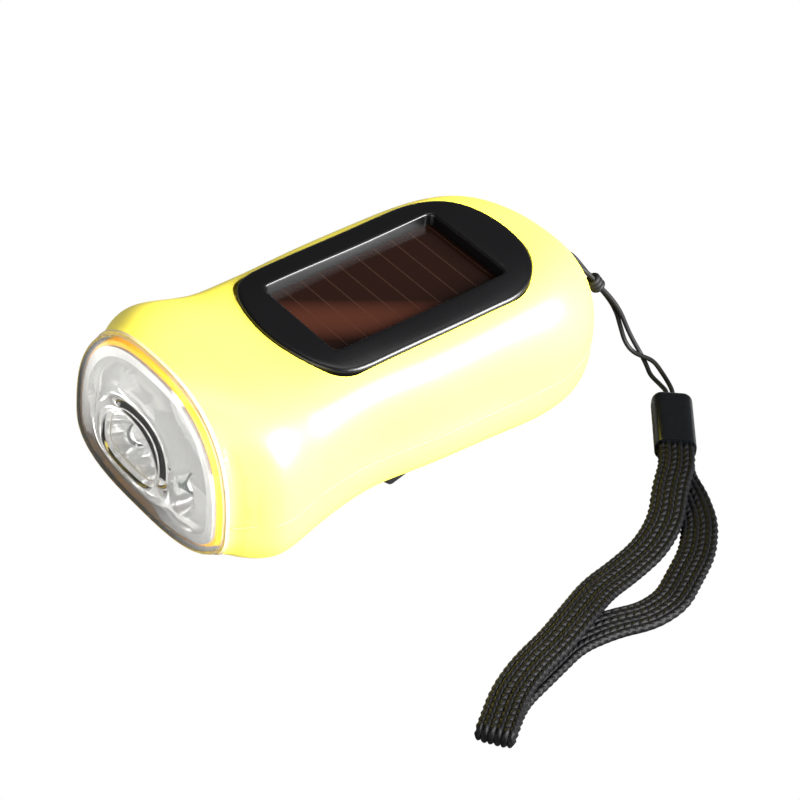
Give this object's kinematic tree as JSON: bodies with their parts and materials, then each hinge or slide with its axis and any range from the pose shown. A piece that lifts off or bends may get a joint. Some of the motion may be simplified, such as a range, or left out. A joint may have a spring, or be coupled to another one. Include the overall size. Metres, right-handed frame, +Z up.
{
  "type": "hand crank flashlight",
  "caption": "Yellow hand crank flashlight with a solar panel on top, lamps behind a clear lens and a wrist strap.",
  "frame": {"origin": "bottom centre of the bounding box of the light without its lanyard and strap, on the surface it stands on", "axes": "+Y from the lens to the strap end along the body, +Z up from the crank side to the solar panel, +X to the left when looking out along the beam"},
  "size_m": [0.1187, 0.1243, 0.0396],
  "materials": {
    "yellow_plastic": "satin moulded",
    "clear_lens": "clear polished",
    "chromed_plastic": "bright plated",
    "clear_epoxy": "clear",
    "board": "solder resist",
    "black_plastic": "satin",
    "solar_glass": "dark glazed",
    "steel": "bright",
    "grey_plastic": "moulded",
    "white_plastic": "moulded",
    "copper": "enamelled winding",
    "battery_wrap": "shrink sleeve",
    "cord": "braided",
    "braid": "braided",
    "magnet": "sintered",
    "brass_metal": "machined"
  },
  "bodies": {
    "body": {"upper_housing": "yellow_plastic", "lower_housing": "yellow_plastic", "front_lens": "clear_lens", "reflector": "chromed_plastic", "led_left": "clear_epoxy", "led_centre": "clear_epoxy", "led_right": "clear_epoxy", "led_board": "board", "solar_bezel": "black_plastic", "solar_cell": "solar_glass", "gear_axle_1": "steel", "gear_axle_2": "steel", "gear_plate": "grey_plastic", "gear_plate_screws": "steel", "stator_can": "steel", "coil": "copper", "circuit_board": "board", "battery_pack": "battery_wrap", "capacitor": "black_plastic", "rectifier_diodes": "black_plastic", "push_switch": "black_plastic", "housing_screws": "steel", "lanyard_pin": "steel", "lanyard_loop": "cord", "lanyard_knot": "cord", "lanyard_strand_a": "cord", "lanyard_strand_b": "cord", "strap_ferrule": "black_plastic", "wrist_strap": "braid"},
    "crank": {"crank_arm": "black_plastic", "crank_shaft": "steel", "crank_screw": "steel", "input_gear": "white_plastic", "knob_pin": "steel"},
    "knob_post": {"knob_post": "steel"},
    "knob": {"knob_sleeve": "black_plastic"},
    "gear_1": {"compound_gear_1": "white_plastic"},
    "gear_2": {"compound_gear_2": "white_plastic"},
    "rotor": {"magnet_rotor": "magnet", "rotor_shaft": "steel", "rotor_pinion": "brass_metal"},
    "button": {"power_button": "black_plastic", "switch_plunger": "white_plastic"}
  },
  "joints": [
    {"name": "crank_spin", "type": "hinge", "parent": "body", "child": "crank", "pos_m": [0, 0.024, 0.0026], "axis": [0, 0, 1], "continuous": true},
    {"name": "knob_fold", "type": "hinge", "parent": "crank", "child": "knob_post", "pos_m": [0.01099, -0.00391, 0.0026], "axis": [-0.9304, -0.3665, 0], "range_deg": [0, 90]},
    {"name": "knob_spin", "type": "hinge", "parent": "knob_post", "child": "knob", "pos_m": [0.01099, -0.00391, 0.0026], "axis": [-0.3665, 0.9304, 0], "continuous": true},
    {"name": "gear_1_spin", "type": "hinge", "parent": "body", "child": "gear_1", "pos_m": [-0.0041, 0.01272, 0.012], "axis": [0, 0, 1], "continuous": true},
    {"name": "gear_2_spin", "type": "hinge", "parent": "body", "child": "gear_2", "pos_m": [0.00361, 0.00353, 0.015], "axis": [0, 0, 1], "continuous": true},
    {"name": "rotor_spin", "type": "hinge", "parent": "body", "child": "rotor", "pos_m": [-0.00049, -0.00775, 0.012], "axis": [0, 0, 1], "continuous": true},
    {"name": "button_press", "type": "slide", "parent": "body", "child": "button", "axis": [0, 0, 1], "range_m": [0, 0.0012], "stiffness_N_per_m": 150, "springref_m": -0.0005}
  ],
  "couplings": [
    {"joint": "gear_1_spin", "follows": "crank_spin", "ratio": -3},
    {"joint": "gear_2_spin", "follows": "crank_spin", "ratio": 9},
    {"joint": "rotor_spin", "follows": "crank_spin", "ratio": -27}
  ]
}
